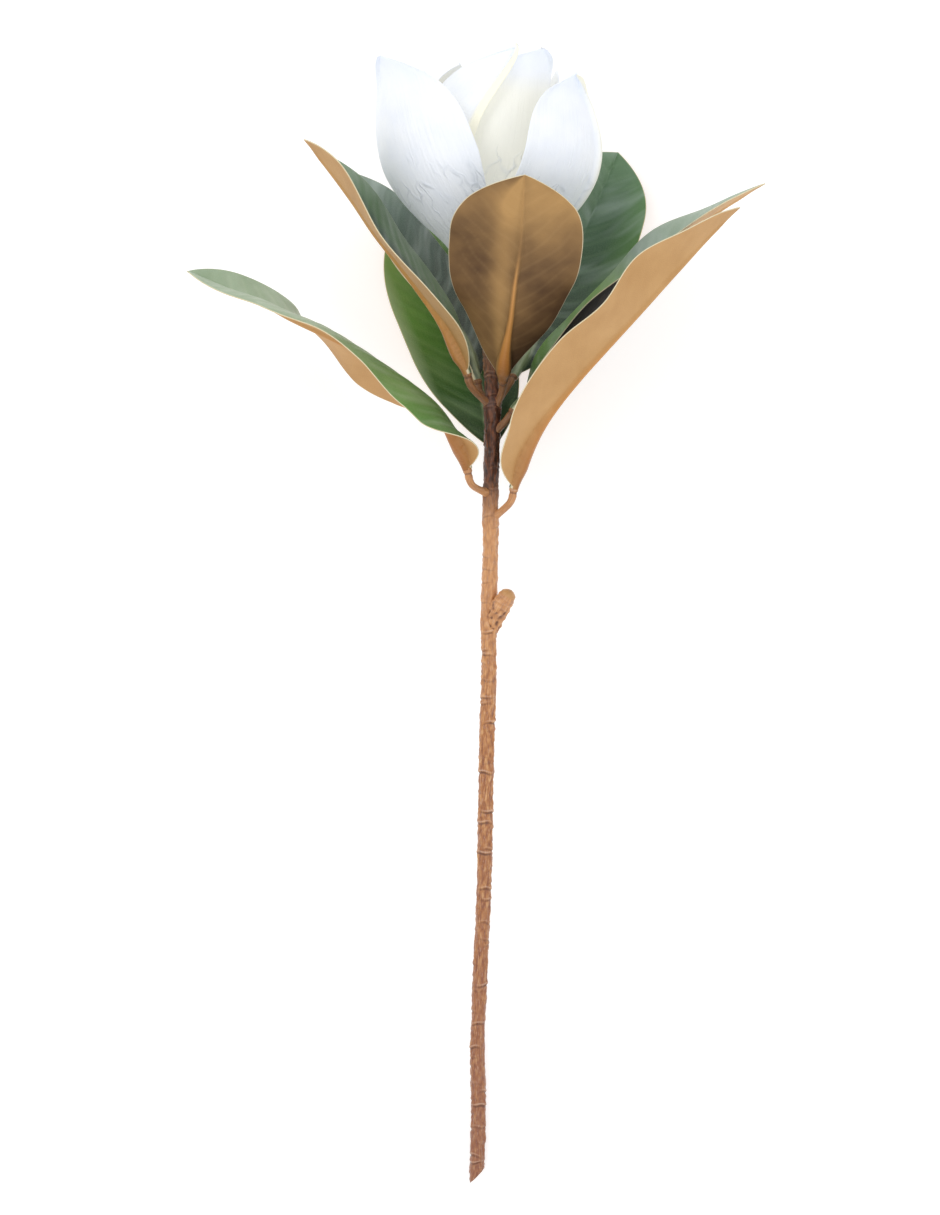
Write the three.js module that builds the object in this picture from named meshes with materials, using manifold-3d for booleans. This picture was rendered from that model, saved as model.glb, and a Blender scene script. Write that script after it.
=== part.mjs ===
// A magnolia branch lying on a surface: one woody stem, eight leathery leaves and a half open bloom.
//
// Everything is shaped in the branch frame, in millimetres: X to the right, Y along the stem from its
// cut end to the bloom, Z up from the side that the leaves and the bloom open towards. The branch
// then tips about X until it lies on its cut end and on the undersides of its two back leaves.

import * as THREE from "three";
import { mergeVertices } from "three/addons/utils/BufferGeometryUtils.js";
import Module from "manifold-3d";

const wasm = await Module();
wasm.setup();

// ---------------------------------------------------------------- driving dimensions

const GAP = 0.6; // clearance between the end of a stalk and its leaf
const LAY_SLOPE = 0.11; // how much the branch rises along the surface towards its bloom
const LAY_ANGLE = Math.atan(LAY_SLOPE);
const STEM_LIFT = 3.5; // from the surface to the middle of the stem's cut end
const MERGE_DISTANCE = 1e-4; // points nearer than this are one point

const STEM = {
  // centre line from the cut end to the bloom, with its small bends
  path: [
    [-7.5, 1, 0],
    [-6.3, 38, 0],
    [-6.8, 78, 0],
    [-5, 125, 0],
    [-3.3, 163, 0],
    [-2.5, 203, 0],
    [-1.8, 242, 0],
    [-0.6, 281, 0],
    [-0.6, 315, 0],
    [0.3, 351, 0],
    [0.3, 377, 0],
    [1.1, 408, 0],
    [1.4, 427, 0],
    [0, 454, 0],
    [0.5, 475.7, 0],
  ],
  radii: [4.1, 4, 3.9, 4, 4.1, 4.2, 4.2, 4.3, 4.1, 3.9, 3.6],
  ringPitch: 9, // distance between two bark rings
  ringRise: 0.28, // how far a ring stands out
  cutSlope: 0.9, // rise of the slanted cut across the stem
  cutStations: 2, // stations that the slanted cut takes the place of
  sides: 12,
};

const STUB = {
  // what is left of a side branch
  path: [
    [0, 304, 0],
    [2.8, 311.5, 2],
    [6.4, 319, 5],
    [10.4, 325.3, 7],
  ],
  radii: [3.6, 4.5, 5, 5.1, 4.2],
  sides: 10,
  steps: 8,
};

const STALK = { radii: [2.7, 2, 1.95, 2.05, 2.35], sides: 8, steps: 6, reach: 8 };

const BLADE = { thickness: 1, rows: 16, columns: 3 }; // columns on each side of the midrib
const RIB = {
  // the midrib, from the sheath round the stalk to where it runs out near the tip
  radii: [2.6, 3.5, 2.6, 1.7, 1.45, 1.35, 1.2, 1.1, 1, 0.9, 0.8],
  share: 0.9, // of the leaf's length
  sink: 0.6, // of its radius below the middle of the blade
  sides: 8,
  steps: 14,
};
const PETAL = {
  thickness: 1,
  rows: 12,
  columns: 3,
  footHalfWidth: 3.4,
  footSpread: 37, // degrees round the bloom that half a petal may take near its foot,
  footEnd: 0.28, // up to this share of its length; past the next one its own spread holds
  fullStart: 0.45,
  driftPower: 3, // how late along the petal its drift sets in
  hookPower: 10,
};

const BARK_BROWN = 0xa9794f;
const LEAF_GREEN = 0x4d6b3c;
const LEAF_GREY_GREEN = 0x6f8068;
const LEAF_BROWN = 0x8a6238;
const LEAF_TAN = 0xcfa676;
const BASE_GREEN = 0xb9b57a;
const PETAL_WHITE = 0xf4f5f2;
const ROUGHNESS = { bark: 0.7, leaf: 0.5, petal: 0.6 };

// One leaf: stalk is where its stalk leaves the stem, spine the midrib from base to tip, up the side
// that its upper face looks to. outline holds the widest place along the leaf and the powers of the
// base and the tip. left and right are the angles, in degrees and evenly spaced from base to tip, by
// which the two halves rise from the plane across up, and curl what they turn on towards their edges.
// leftShare and rightShare narrow a half. A leaf that is faceDown has its underside on the up side.
const LEAVES = {
  leaf_1: {
    stalk: [-0.4, 380, 0],
    spine: [
      [-12.5, 393, 14],
      [-17, 408.5, 16],
      [-28, 427, 18],
      [-45, 441.5, 20],
      [-65, 454, 20],
      [-78, 460.8, 20],
      [-92, 467.5, 20],
      [-109, 475.5, 20],
      [-121, 482, 18],
      [-141, 490, 14],
      [-166, 502, 8],
    ],
    up: [0.4, 1, 0],
    width: 68,
    rightShare: 0.9,
    outline: [0.5, 5, 3.2],
    left: [80, 0, -5, 10, 20, 16, 12, 8],
    right: [10, -5, -25, -30, -5, 15, 35, 60],
    curl: [-40, 0],
    colour: LEAF_GREEN,
  },
  leaf_2: {
    stalk: [1, 428, 0],
    spine: [
      [-12.6, 446, 12],
      [-15.5, 455, 15],
      [-23, 470, 20],
      [-35, 486, 25],
      [-48, 503, 27],
      [-62, 520.5, 26],
      [-75, 539.5, 24],
      [-90, 559.5, 20],
      [-101.5, 573.5, 16],
    ],
    up: [0.81, 0.58, 0],
    width: 70,
    outline: [0.55, 3, 2.6],
    left: [14, 10, 5, 0, 4, 12, 12],
    right: [25, 22, 20, 20, 24, 28, 20],
    curl: [0, 0],
    colour: LEAF_BROWN,
  },
  leaf_3: {
    stalk: [0.8, 396, 0],
    spine: [
      [2, 405, -10],
      [-3, 432, -20],
      [-15, 464, -36],
      [-28, 495, -51],
      [-40, 523, -60],
      [-50, 548, -61.6],
    ],
    up: [0, 0, 1],
    width: 66,
    outline: [0.55, 3.3, 2.4],
    left: [4, 16, 22, 22, 18],
    right: [10, 12, 18, 16, 12],
    curl: [12, 10],
    colour: LEAF_GREEN,
    rightShare: 0.88,
  },
  leaf_4: {
    stalk: [1.2, 423, 0],
    spine: [
      [7, 442, 12],
      [8, 455, 26],
      [11, 473, 46],
      [13, 490, 62],
      [16, 511, 80],
      [17, 531, 96],
      [18, 546, 106],
    ],
    up: [0, 0, 1],
    width: 78,
    rightShare: 0.86,
    outline: [0.62, 1.9, 3.5],
    left: [-25, -20, -14, -10, -8],
    right: [-25, -20, -14, -10, -8],
    curl: [0, 0],
    faceDown: true,
    colour: LEAF_BROWN,
  },
  leaf_5: {
    stalk: [1.4, 427, 0],
    spine: [
      [13, 445, -4],
      [24, 465, -20],
      [38, 492, -43],
      [50, 520, -56.2],
      [61, 546, -62.5],
      [72.5, 574, -63.6],
    ],
    up: [0, 0, 1],
    width: 74,
    rightShare: 0.88,
    outline: [0.66, 1.7, 4],
    left: [10, 14, 20, 18, 15],
    right: [-26, -20, 4, 24, 28],
    curl: [0, 5],
    colour: LEAF_GREEN,
  },
  leaf_6: {
    stalk: [0.3, 366, 0],
    spine: [
      [13, 383, 8],
      [17.5, 401, 12],
      [26, 416, 15],
      [38, 431, 20],
      [51, 446, 25],
      [79, 476, 33],
      [101, 500, 36],
      [121, 521.5, 36],
      [135.5, 535, 34],
    ],
    up: [-0.75, 0.66, 0],
    width: 74,
    outline: [0.45, 4.3, 4.6],
    left: [15, 12, 10, 10, 8, 5],
    right: [28, 22, 30, 34, 27, 35, 20, 10],
    curl: [0, 0],
    colour: LEAF_TAN,
  },
  leaf_7: {
    stalk: [1.2, 413, 0],
    spine: [
      [13, 426, 3],
      [22, 438, 2],
      [39, 457, -3],
      [61, 481, -8],
      [85, 504, -12],
      [108, 524, -14],
      [131, 540, -14],
      [152, 552, -12],
    ],
    up: [-0.75, 0.66, 0],
    width: 58,
    leftShare: 0.8,
    outline: [0.5, 3, 2.6],
    left: [-20, 35, 30, 30, 40, 20, 15],
    right: [12, 15, 15, 8, 4, 5, 8],
    curl: [0, 0],
    colour: LEAF_BROWN,
  },
  leaf_8: {
    stalk: [1, 431, 0],
    spine: [
      [-7, 443, -9],
      [-12, 462, -14],
      [-26, 487, -22],
      [-45, 513, -28],
      [-61, 540, -31],
      [-77, 560, -32],
    ],
    up: [0.84, 0.54, 0.7],
    width: 66,
    leftShare: 0.5,
    rightShare: 0.8,
    outline: [0.55, 2.6, 2.5],
    left: [10, 5, 0, 0, 0],
    right: [15, 12, 10, 8, 8],
    curl: [0, 0],
    colour: LEAF_GREY_GREEN,
  },
};

const BLOOM = { x: 0.5, y: 484 }; // where the bloom's axis starts, at the height of the outer petals' feet

// The bloom's base: radius and height of its outline, with a step for each ring of petals and a cone
const BASE = {
  outline: [
    [0, -8],
    [4.4, -8],
    [6.5, -6],
    [10, -2.2],
    [10.2, -0.6],
    [7.7, -0.4],
    [7.6, 1.8],
    [5.9, 2],
    [5.7, 5.2],
    [3.9, 5.4],
    [4.1, 10],
    [3.6, 18],
    [1.8, 25],
    [0, 27],
  ],
  sides: 16,
};

// One petal: meridian holds radius and height from its foot to its tip; it lies round azimuth, which
// is measured from Z towards X in degrees, leans by drift towards its tip and by hook at the very tip,
// and goes no further than spread to each side, so that petals of one ring stay beside each other.
const OUTER_FOOT = [
  [9, 0],
  [12, 12],
  [24, 31],
  [40, 46],
];
const MIDDLE_FOOT = [
  [6.9, 2.5],
  [9.6, 13],
  [20.5, 32],
  [36.5, 47.5],
];
const INNER_FOOT = [
  [4.9, 6],
  [7, 16],
  [14, 32],
  [24.5, 48],
];
const INMOST_FOOT = [
  [4.9, 6],
  [6.6, 16],
  [12, 32],
  [20.5, 49],
];
const PETALS = {
  petal_1: {
    azimuth: -40,
    drift: -26,
    meridian: [...OUTER_FOOT, [51, 59], [58, 72], [61.5, 88], [62, 103], [61, 120], [62.5, 127], [66, 134]],
    spread: 40,
    width: 84,
    outline: [0.58, 2.6, 4.4],
  },
  petal_2: {
    azimuth: 38,
    drift: 24,
    meridian: [...OUTER_FOOT, [50, 55], [58, 67], [60.5, 79], [59, 91], [54.5, 105], [51, 115], [52, 125]],
    spread: 38,
    width: 60,
    outline: [0.55, 2.6, 5],
  },
  petal_3: {
    azimuth: 98,
    drift: 0,
    meridian: [...MIDDLE_FOOT, [47, 57], [55, 68], [57.5, 79], [56, 91], [51, 103], [46, 112]],
    spread: 35,
    width: 68,
    outline: [0.55, 2.6, 2.8],
  },
  petal_4: {
    azimuth: -112,
    drift: 0,
    meridian: [...MIDDLE_FOOT, [47, 58], [55, 72], [57.5, 88], [54, 104], [47, 118], [38, 129]],
    spread: 35,
    width: 72,
    outline: [0.55, 2.6, 2.8],
  },
  petal_5: {
    azimuth: 173,
    drift: 0,
    meridian: [...MIDDLE_FOOT, [45, 57], [52, 71], [54, 86], [51, 102], [46, 116], [43, 126]],
    spread: 35,
    width: 72,
    outline: [0.55, 2.6, 2.8],
  },
  petal_6: {
    azimuth: -60,
    drift: 60,
    hook: 28,
    meridian: [
      ...INNER_FOOT,
      [31, 62],
      [36.5, 80],
      [38.5, 96],
      [37.5, 112],
      [35, 124],
      [32.5, 132],
      [31, 139],
    ],
    spread: 62,
    width: 42,
    outline: [0.45, 2.6, 6],
  },
  petal_7: {
    azimuth: 28,
    drift: 28,
    meridian: [
      ...INMOST_FOOT,
      [28, 64],
      [32.5, 80],
      [34, 96],
      [33, 110],
      [31, 122],
      [31.5, 132],
      [34, 139],
    ],
    spread: 62,
    width: 64,
    outline: [0.62, 2.6, 6.5],
  },
  petal_8: {
    azimuth: 118,
    drift: -10,
    meridian: [...INNER_FOOT, [31, 62], [36.5, 80], [38.5, 96], [38, 110], [37, 120], [38, 130]],
    spread: 50,
    width: 58,
    outline: [0.6, 2.6, 3],
  },
  petal_9: {
    azimuth: -138,
    drift: 8,
    meridian: [...INMOST_FOOT, [28.5, 64], [33.5, 80], [35.5, 96], [35, 110], [30, 124], [22, 134]],
    spread: 50,
    width: 60,
    outline: [0.6, 2.6, 3],
  },
};

// ---------------------------------------------------------------- plain geometry

const radians = THREE.MathUtils.degToRad;
const vector = ([x, y, z]) => new THREE.Vector3(x, y, z);

// A smooth value at t, 0 to 1, from evenly spaced values.
function blend(values, t) {
  const last = values.length - 1;
  const index = Math.min(Math.floor(t * last), last - 1);
  const u = t * last - index;
  const [a, b] = [values[index], values[index + 1]];
  const slopeA = index > 0 ? (b - values[index - 1]) / 2 : b - a;
  const slopeB = index + 2 <= last ? (values[index + 2] - a) / 2 : b - a;
  const [u2, u3] = [u * u, u * u * u];
  const [fromA, fromB] = [2 * u3 - 3 * u2 + 1, 3 * u2 - 2 * u3];
  return fromA * a + fromB * b + (u3 - 2 * u2 + u) * slopeA + (u3 - u2) * slopeB;
}

// The share of the full half width at t, for a blade whose ends round off by two powers.
function outlineShare([widest, basePower, tipPower], t) {
  if (t < widest) return 1 - Math.pow(1 - t / widest, basePower);
  return 1 - Math.pow((t - widest) / (1 - widest), tipPower);
}

function smoothCurve(points) {
  return new THREE.CatmullRomCurve3(points.map(vector), false, "centripetal");
}

function meshGeometry(points, triangles) {
  const geometry = new THREE.BufferGeometry();
  geometry.setAttribute("position", new THREE.Float32BufferAttribute(points.flatMap((p) => p.toArray()), 3));
  geometry.setIndex(triangles.flat());
  return geometry;
}

// A closed round bar along a curve. radiusAt gives its radius at t, and shift may move a point of it.
function bar(curve, radiusAt, sides, stations, shift = () => 0) {
  const points = [];
  const triangles = [];
  const across = new THREE.Vector3(0, 0, 1);
  for (const [row, t] of stations.entries()) {
    const centre = curve.getPointAt(t);
    const along = curve.getTangentAt(t);
    const side = new THREE.Vector3().crossVectors(along, across).normalize();
    const rise = new THREE.Vector3().crossVectors(side, along);
    for (let k = 0; k < sides; k++) {
      const angle = (2 * Math.PI * (k + 0.5)) / sides;
      const point = centre.clone();
      point.addScaledVector(side, Math.cos(angle) * radiusAt(t));
      point.addScaledVector(rise, Math.sin(angle) * radiusAt(t));
      point.addScaledVector(along, shift(row, Math.cos(angle)));
      points.push(point);
      if (row === 0) continue;
      const [a, b] = [(row - 1) * sides + k, (row - 1) * sides + ((k + 1) % sides)];
      triangles.push([a, b + sides, b], [a, a + sides, b + sides]);
    }
  }
  const lastRing = points.length - sides;
  for (let k = 1; k < sides - 1; k++) {
    triangles.push([0, k, k + 1], [lastRing, lastRing + k + 1, lastRing + k]);
  }
  return meshGeometry(points, triangles);
}

const evenly = (steps) => Array.from({ length: steps + 1 }, (_, i) => i / steps);

// A grid of points as triangles. A row of one point closes the sheet to a tip.
function gridTriangles(rows) {
  const triangles = [];
  let start = 0;
  for (let i = 1; i < rows.length; i++) {
    const [low, high] = [rows[i - 1].length, rows[i].length];
    const next = start + low;
    for (let j = 0; j < Math.max(low, high) - 1; j++) {
      const [a, b] = [start + Math.min(j, low - 1), start + Math.min(j + 1, low - 1)];
      const [c, d] = [next + Math.min(j, high - 1), next + Math.min(j + 1, high - 1)];
      if (a !== b) triangles.push([a, b, d]);
      if (c !== d) triangles.push([a, d, c]);
    }
    start = next;
  }
  return triangles;
}

// Gives a sheet its thickness: two faces alike, and a wall along every open edge.
function thicken(rows, thickness) {
  const middle = rows.flat();
  const triangles = gridTriangles(rows);
  const normals = middle.map(() => new THREE.Vector3());
  const openEdges = new Map();
  for (const [a, b, c] of triangles) {
    const edge = new THREE.Vector3().subVectors(middle[b], middle[a]);
    const normal = new THREE.Vector3().subVectors(middle[c], middle[a]).cross(edge).negate();
    for (const corner of [a, b, c]) normals[corner].add(normal);
    for (const [from, to] of [[a, b], [b, c], [c, a]]) {
      if (!openEdges.delete(`${to} ${from}`)) openEdges.set(`${from} ${to}`, [from, to]);
    }
  }
  normals.forEach((normal) => normal.normalize());
  const offset = (side) => middle.map((p, i) => p.clone().addScaledVector(normals[i], side * thickness / 2));
  const count = middle.length;
  const solid = [];
  for (const [a, b, c] of triangles) solid.push([a, b, c], [a + count, c + count, b + count]);
  for (const [from, to] of openEdges.values()) {
    solid.push([from, from + count, to + count], [from, to + count, to]);
  }
  return meshGeometry([...offset(1), ...offset(-1)], solid);
}

function toManifold(geometry) {
  const bare = geometry.clone();
  bare.deleteAttribute("normal");
  bare.deleteAttribute("uv");
  const merged = mergeVertices(bare, MERGE_DISTANCE);
  const vertProperties = new Float32Array(merged.attributes.position.array);
  const triVerts = new Uint32Array(merged.index.array);
  return new wasm.Manifold(new wasm.Mesh({ numProp: 3, vertProperties, triVerts }));
}

function fromManifold(solid) {
  const mesh = solid.getMesh();
  const geometry = new THREE.BufferGeometry();
  geometry.setAttribute("position", new THREE.BufferAttribute(new Float32Array(mesh.vertProperties), 3));
  geometry.setIndex(new THREE.BufferAttribute(new Uint32Array(mesh.triVerts), 1));
  return geometry;
}

function joined(...geometries) {
  const solids = geometries.map(toManifold);
  return fromManifold(solids.reduce((whole, piece) => whole.add(piece)));
}

// ---------------------------------------------------------------- the branch's pieces

// The frame of a leaf at t: its midrib point, the way along it, across it to the right, and up.
function leafFrame(leaf, curve, t) {
  const point = curve.getPointAt(t);
  const along = curve.getTangentAt(t);
  const right = new THREE.Vector3().crossVectors(along, vector(leaf.up)).normalize();
  const up = new THREE.Vector3().crossVectors(right, along);
  return { point, along, right, up };
}

// The points from the midrib to one edge of the leaf; side is -1 for its left half, 1 for its right.
function halfRow(leaf, frame, t, side) {
  const share = (side > 0 ? leaf.rightShare : leaf.leftShare) ?? 1;
  const step = ((leaf.width / 2) * share * outlineShare(leaf.outline, t)) / BLADE.columns;
  const rise = blend(side > 0 ? leaf.right : leaf.left, t);
  const curl = leaf.curl[side > 0 ? 1 : 0];
  const point = frame.point.clone();
  const row = [];
  for (let k = 0; k < BLADE.columns; k++) {
    const angle = radians(rise + (curl * (k + 0.5)) / BLADE.columns);
    point.addScaledVector(frame.right, side * step * Math.cos(angle));
    point.addScaledVector(frame.up, step * Math.sin(angle));
    row.push(point.clone());
  }
  return row;
}

function leafRows(leaf, curve) {
  return evenly(BLADE.rows).map((t, row) => {
    const frame = leafFrame(leaf, curve, t);
    if (row === 0 || row === BLADE.rows) return [frame.point];
    return [...halfRow(leaf, frame, t, -1).reverse(), frame.point, ...halfRow(leaf, frame, t, 1)];
  });
}

// The midrib, thick as a sheath where the stalk meets it, stands out of the leaf's underside.
function leafRib(leaf, curve) {
  const underside = leaf.faceDown ? 1 : -1;
  const radiusAt = (t) => blend(RIB.radii, t);
  const points = evenly(RIB.steps).map((t) => {
    const frame = leafFrame(leaf, curve, t * RIB.share);
    const sink = t === 0 ? 0 : RIB.sink * radiusAt(t);
    return frame.point.addScaledVector(frame.up, underside * sink).toArray();
  });
  return bar(smoothCurve(points), radiusAt, RIB.sides, evenly(RIB.steps));
}

function leafGeometry(leaf) {
  const curve = smoothCurve(leaf.spine);
  return joined(thicken(leafRows(leaf, curve), BLADE.thickness), leafRib(leaf, curve));
}

function petalRows(petal) {
  const meridian = smoothCurve(petal.meridian.map(([radius, height]) => [radius, height, 0]));
  return evenly(PETAL.rows).map((t, row) => {
    const { x: radius, y: height } = meridian.getPointAt(t);
    const lean = petal.drift * t ** PETAL.driftPower + (petal.hook ?? 0) * t ** PETAL.hookPower;
    const middle = radians(petal.azimuth + lean);
    const full = (petal.width / 2) * outlineShare(petal.outline, t);
    const opening = THREE.MathUtils.smoothstep(t, PETAL.footEnd, PETAL.fullStart);
    const spread = radians(THREE.MathUtils.lerp(PETAL.footSpread, petal.spread, opening));
    const foot = t < PETAL.footEnd ? PETAL.footHalfWidth : 0;
    const halfWidth = Math.min(Math.max(full, foot), radius * spread);
    const at = (s) => {
      const azimuth = middle + (s * halfWidth) / radius;
      const [x, z] = [radius * Math.sin(azimuth), radius * Math.cos(azimuth)];
      return new THREE.Vector3(BLOOM.x + x, BLOOM.y + height, z);
    };
    if (row === PETAL.rows) return [at(0)];
    return evenly(2 * PETAL.columns).map((s) => at(2 * s - 1));
  });
}

function baseGeometry() {
  const outline = BASE.outline.map(([radius, height]) => new THREE.Vector2(radius, height));
  return new THREE.LatheGeometry(outline, BASE.sides).translate(BLOOM.x, BLOOM.y, 0);
}

// A stalk grows out of the stem and ends square to its leaf's midrib, a hair short of it.
function stalkGeometry(leaf) {
  const curve = smoothCurve(leaf.spine);
  const base = curve.getPointAt(0);
  const along = curve.getTangentAt(0);
  const end = base.clone().addScaledVector(along, -GAP);
  const knee = base.clone().addScaledVector(along, -STALK.reach);
  const path = smoothCurve([leaf.stalk, knee.toArray(), end.toArray()]);
  return bar(path, (t) => blend(STALK.radii, t), STALK.sides, evenly(STALK.steps));
}

function stemGeometry() {
  const path = smoothCurve(STEM.path);
  const rings = Math.round(path.getLength() / STEM.ringPitch);
  const isClearOfCut = (t, row) => row === 0 || row > STEM.cutStations;
  const stations = evenly(2 * rings).filter(isClearOfCut);
  const radiusAt = (t) => {
    const onRing = Math.round(t * 2 * rings) % 2 === 0;
    return blend(STEM.radii, t) + (onRing && t > 0 && t < 1 ? STEM.ringRise : 0);
  };
  const slant = (row, across) => (row === 0 ? STEM.cutSlope * STEM.radii[0] * (1 + across) : 0);
  const trunk = bar(path, radiusAt, STEM.sides, stations, slant);
  const stub = bar(smoothCurve(STUB.path), (t) => blend(STUB.radii, t), STUB.sides, evenly(STUB.steps));
  return joined(trunk, stub, ...Object.values(LEAVES).map(stalkGeometry));
}

// ---------------------------------------------------------------- laying it down

// Points under the surface that the branch lies on are brought up to it: small flat spots.
function layOn(geometry, lift) {
  geometry.rotateX(LAY_ANGLE);
  geometry.translate(0, 0, lift);
  const position = geometry.attributes.position;
  for (let i = 0; i < position.count; i++) position.setZ(i, Math.max(position.getZ(i), 0));
  return geometry;
}

function material(colour, roughness) {
  return new THREE.MeshStandardMaterial({ color: colour, roughness, metalness: 0, side: THREE.DoubleSide });
}

const group = new THREE.Group();

function addMesh(name, geometry, colour, roughness) {
  const mesh = new THREE.Mesh(layOn(geometry, STEM_LIFT), material(colour, roughness));
  mesh.name = name;
  group.add(mesh);
}

addMesh("stem", stemGeometry(), BARK_BROWN, ROUGHNESS.bark);
for (const [name, leaf] of Object.entries(LEAVES)) {
  addMesh(name, leafGeometry(leaf), leaf.colour, ROUGHNESS.leaf);
}
addMesh("bloom_base", baseGeometry(), BASE_GREEN, ROUGHNESS.bark);
for (const [name, petal] of Object.entries(PETALS)) {
  addMesh(name, thicken(petalRows(petal), PETAL.thickness), PETAL_WHITE, ROUGHNESS.petal);
}

// The part's origin is the middle of its footprint, on the surface it lies on.
const box = new THREE.Box3().setFromObject(group);
group.position.set(-(box.min.x + box.max.x) / 2, -(box.min.y + box.max.y) / 2, 0);

export default group;
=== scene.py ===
import math

import bpy
import numpy as np
from mathutils import Matrix, Vector


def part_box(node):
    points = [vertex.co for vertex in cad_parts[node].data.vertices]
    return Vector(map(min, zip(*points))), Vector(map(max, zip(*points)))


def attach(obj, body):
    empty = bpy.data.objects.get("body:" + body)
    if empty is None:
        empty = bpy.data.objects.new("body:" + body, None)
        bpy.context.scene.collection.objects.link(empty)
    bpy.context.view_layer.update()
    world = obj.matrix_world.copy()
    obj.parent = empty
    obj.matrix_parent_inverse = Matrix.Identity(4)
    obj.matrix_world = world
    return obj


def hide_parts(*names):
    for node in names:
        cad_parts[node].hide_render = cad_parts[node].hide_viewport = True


# A magnolia branch lying on a pale surface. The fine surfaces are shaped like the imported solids, in
# millimetres in the branch's own frame: X to the right, Y along the stem to the bloom, Z up to the camera.
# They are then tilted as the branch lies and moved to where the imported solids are.

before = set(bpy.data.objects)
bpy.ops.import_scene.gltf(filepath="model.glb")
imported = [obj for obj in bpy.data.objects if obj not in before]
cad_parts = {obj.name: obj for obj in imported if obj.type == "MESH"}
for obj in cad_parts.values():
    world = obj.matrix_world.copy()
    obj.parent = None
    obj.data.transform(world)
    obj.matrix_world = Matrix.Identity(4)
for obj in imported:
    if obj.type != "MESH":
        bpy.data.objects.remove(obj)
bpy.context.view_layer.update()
rng = np.random.default_rng(7)

MM = 0.001
LAY_ANGLE = math.atan(0.11)  # the bloom's end lies higher than the cut end
STEM_LIFT = 3.5  # height of the branch frame's origin
PHOTO = (940, 1215)  # width and height of the picture
PHOTO_SCALE = 0.55  # millimetres on the branch's own plane for one pixel
CAMERA_AT = (-11.0, 317.6, 2600.0)  # in the branch frame

STEM_PATH = [
    [-7.5, 1, 0], [-6.3, 38, 0], [-6.8, 78, 0], [-5, 125, 0], [-3.3, 163, 0], [-2.5, 203, 0],
    [-1.8, 242, 0], [-0.6, 281, 0], [-0.6, 315, 0], [0.3, 351, 0], [0.3, 377, 0], [1.1, 408, 0],
    [1.4, 427, 0], [0, 454, 0], [0.5, 475.7, 0],
]
STEM_RADII = [4.1, 4, 3.9, 4, 4.1, 4.2, 4.2, 4.3, 4.1, 3.9, 3.6]
RING_PITCH = 4.6  # mean distance between two bark rings
RING_RISE = 0.45
KNOT_RISE = 0.45  # swelling of the stem where a stalk leaves it
GROOVE_RISE, LUMP_RISE, KNOB_RISE = 0.14, 0.2, 0.1
STEM_ROWS, STEM_SIDES = 1000, 60
STUB_ROWS, STUB_SIDES = 110, 48
STALK_ROWS, STALK_SIDES = 70, 30
RED_FROM = 390  # stalks above this place on the stem are reddish like the bark there
CUT_SLOPE = 0.9
CUT_RUN = 14  # length of stem over which the slant of the cut dies out
STUB_BANDS = (13.5, 16.5, 19.5, 22)
STUB_KNOT = 308
STUB_PATH = [[0, 304, 0], [2.8, 311.5, 2], [6.4, 319, 5], [10.4, 325.3, 7]]
STUB_RADII = [3.6, 4.5, 5, 5.1, 4.2]
STALK_RADII = [2.7, 2, 1.95, 2.05, 2.35]
STALK_REACH = 8.0

BLADE_THICKNESS = 0.95
RIB_RADII = [2.6, 3.5, 2.6, 1.7, 1.45, 1.35, 1.2, 1.1, 1, 0.9, 0.8]
RIB_SHARE = 0.9  # how far along the blade its midrib goes
RIB_SINK = 0.6  # share of its radius by which the midrib sits lower than the blade
RIM_BULGE = 0.42  # how round a sheet's edge is, as a share of its thickness
VEIN_PITCH = 10.0  # distance between two side veins along the midrib
VEIN_SWEEP, VEIN_BEND = 0.55, 0.012  # how far side veins run forward, and curve, on their way out
VEIN_WANDER = 0.14
VEIN_WIDTH = 1.5
PILLOW_RISE, PILLOW_UNDER = 0.2, 0.05  # swelling of the blade between its side veins
VEIN_GROOVE, VEIN_UNDER = 0.08, 0.03
MIDRIB_GROOVE = 0.35
RIPPLE = 2.5  # degrees that a leaf's edge waves by, where its own entry doesn't say
EDGE_THINNING = 0.5
LEAST_THICKNESS = 0.12
RIB_MASK = 1.1  # width of the midrib's colour to its radius
MARGIN_WIDTH = 0.35

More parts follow.
